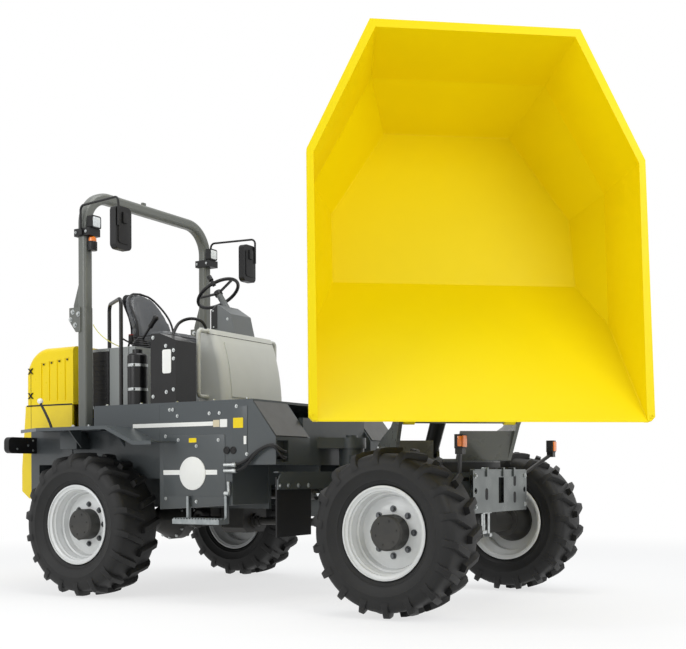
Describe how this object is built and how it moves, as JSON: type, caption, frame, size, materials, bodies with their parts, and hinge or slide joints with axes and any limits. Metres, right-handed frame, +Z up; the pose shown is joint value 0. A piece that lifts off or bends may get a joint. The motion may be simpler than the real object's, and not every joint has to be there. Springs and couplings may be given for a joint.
{
  "type": "articulated swivel-skip site dumper",
  "caption": "Wheeled site dumper, hinged in the middle, with a swivelling front-tipping skip, roll-over hoop and open operator's seat.",
  "frame": {"origin": "on the ground, in the middle of the whole machine's box", "axes": "+X forward along the rear frame, +Y to the machine's left, +Z up"},
  "size_m": [5.436, 2.9798, 3.6177],
  "materials": {
    "yellow_paint": "gloss paint",
    "yellow_moulding": "moulded, satin gloss",
    "frame_paint": "semi-gloss anthracite paint",
    "hoop_paint": "satin grey paint",
    "cowl_moulding": "moulded light grey",
    "black_plastic": "textured black",
    "black_paint": "satin black",
    "tyre": "black rubber",
    "rubber": "matt",
    "rim_paint": "silver-white gloss paint",
    "steel_zinc": "zinc plated",
    "chrome": "hard chrome",
    "cast_iron": "painted casting",
    "seat_vinyl": "grained black vinyl",
    "amber_lens": "clear amber",
    "lamp_glass": "clear",
    "guard_paint": "satin grey paint"
  },
  "bodies": {
    "rear_frame": {"rear_chassis": "frame_paint", "pivot_fork": "frame_paint", "rear_deck": "frame_paint", "side_tank_left": "frame_paint", "side_tank_right": "frame_paint", "rear_axle": "cast_iron", "drive_line": "cast_iron", "rear_fenders": "frame_paint", "engine": "cast_iron", "engine_mounts": "black_paint", "tail_weight": "yellow_paint", "tow_hitch": "black_paint", "tail_lamps": "black_plastic", "seat_box": "hoop_paint", "seat_base": "black_plastic", "seat_cushion": "seat_vinyl", "seat_back": "seat_vinyl", "cowl": "cowl_moulding", "dash_pod": "black_plastic", "control_box": "black_paint", "control_lever": "black_plastic", "canister": "black_plastic", "grab_rail": "black_paint", "cowl_loops": "cowl_moulding", "steps": "steel_zinc", "rops_posts": "hoop_paint"},
    "hood": {"hood": "yellow_moulding"},
    "rops": {"rops_hoop": "hoop_paint", "mirror_arms": "black_paint", "mirrors": "black_plastic", "work_lamps": "lamp_glass"},
    "steering_wheel": {"steering_wheel": "black_plastic"},
    "front_frame": {"front_chassis": "frame_paint", "front_axle": "cast_iron", "front_shaft": "black_paint", "turntable": "steel_zinc", "front_plate": "guard_paint", "mud_guards": "guard_paint", "mud_flaps": "rubber", "indicator_arms": "black_paint", "indicator_lamps": "amber_lens"},
    "swivel": {"swivel_console": "guard_paint"},
    "skip": {"skip_shell": "yellow_paint", "skip_frame": "yellow_paint"},
    "tip_barrel": {"tip_barrel": "black_paint"},
    "tip_rod": {"tip_rod": "chrome"},
    "steer_barrel": {"steer_barrel": "steel_zinc"},
    "steer_rod": {"steer_rod": "chrome"},
    "wheel_rear_left": {"tyre_rear_left": "tyre", "rim_rear_left": "rim_paint", "hub_rear_left": "cast_iron"},
    "wheel_rear_right": {"tyre_rear_right": "tyre", "rim_rear_right": "rim_paint", "hub_rear_right": "cast_iron"},
    "wheel_front_left": {"tyre_front_left": "tyre", "rim_front_left": "rim_paint", "hub_front_left": "cast_iron"},
    "wheel_front_right": {"tyre_front_right": "tyre", "rim_front_right": "rim_paint", "hub_front_right": "cast_iron"}
  },
  "joints": [
    {"name": "steer", "type": "hinge", "parent": "rear_frame", "child": "front_frame", "pos_m": [0.22727, 0.34141, 0.84923], "axis": [0, 0, 1], "range_deg": [-30, 30]},
    {"name": "steer_barrel_yaw", "type": "hinge", "parent": "rear_frame", "child": "steer_barrel", "pos_m": [-0.47273, 0.01141, 0.76923], "axis": [0, 0, 1], "range_deg": [-5.24, 5.24]},
    {"name": "steer_rod_slide", "type": "slide", "parent": "steer_barrel", "child": "steer_rod", "axis": [1, 0, 0], "range_m": [-0.1702, 0.1702]},
    {"name": "skip_swivel", "type": "hinge", "parent": "front_frame", "child": "swivel", "pos_m": [0.98427, 0.34141, 0.99423], "axis": [0, 0, 1], "range_deg": [-37, 143]},
    {"name": "skip_tip", "type": "hinge", "parent": "swivel", "child": "skip", "pos_m": [1.41156, -0.22562, 1.29423], "axis": [0.7986, 0.6018, 0], "range_deg": [-72, 0]},
    {"name": "tip_barrel_pitch", "type": "hinge", "parent": "swivel", "child": "tip_barrel", "pos_m": [0.71345, 0.70079, 1.07923], "axis": [0.7986, 0.6018, 0], "range_deg": [-0.3, 5.69]},
    {"name": "tip_rod_slide", "type": "slide", "parent": "tip_barrel", "child": "tip_rod", "axis": [0.5143, -0.6825, 0.5193], "range_m": [-0.5538, 0.002]},
    {"name": "hood_open", "type": "hinge", "parent": "rear_frame", "child": "hood", "pos_m": [-2.53773, 0.34141, 1.48923], "axis": [0, -1, 0], "range_deg": [0, 60]},
    {"name": "rops_fold", "type": "hinge", "parent": "rear_frame", "child": "rops", "pos_m": [-1.88273, 0.34141, 2.20923], "axis": [0, 1, 0], "range_deg": [-90, 0]},
    {"name": "steering_wheel_turn", "type": "hinge", "parent": "rear_frame", "child": "steering_wheel", "pos_m": [-1.05273, 0.34141, 2.39923], "axis": [-0.5736, 0, 0.8192], "continuous": true},
    {"name": "wheel_rear_left_turn", "type": "hinge", "parent": "rear_frame", "child": "wheel_rear_left", "pos_m": [-1.52273, 1.28541, 0.54423], "axis": [0, 1, 0], "continuous": true},
    {"name": "wheel_rear_right_turn", "type": "hinge", "parent": "rear_frame", "child": "wheel_rear_right", "pos_m": [-1.52273, -0.60259, 0.54423], "axis": [0, 1, 0], "continuous": true},
    {"name": "wheel_front_left_turn", "type": "hinge", "parent": "front_frame", "child": "wheel_front_left", "pos_m": [1.14127, 1.28541, 0.54423], "axis": [0, 1, 0], "continuous": true},
    {"name": "wheel_front_right_turn", "type": "hinge", "parent": "front_frame", "child": "wheel_front_right", "pos_m": [1.14127, -0.60259, 0.54423], "axis": [0, 1, 0], "continuous": true}
  ],
  "couplings": [
    {"joint": "steer_barrel_yaw", "follows": "steer", "ratio": 0.15807},
    {"joint": "steer_rod_slide", "follows": "steer", "m_per_rad": 0.32124},
    {"joint": "tip_barrel_pitch", "follows": "skip_tip", "ratio": -0.0749},
    {"joint": "tip_rod_slide", "follows": "skip_tip", "m_per_rad": 0.43912}
  ]
}
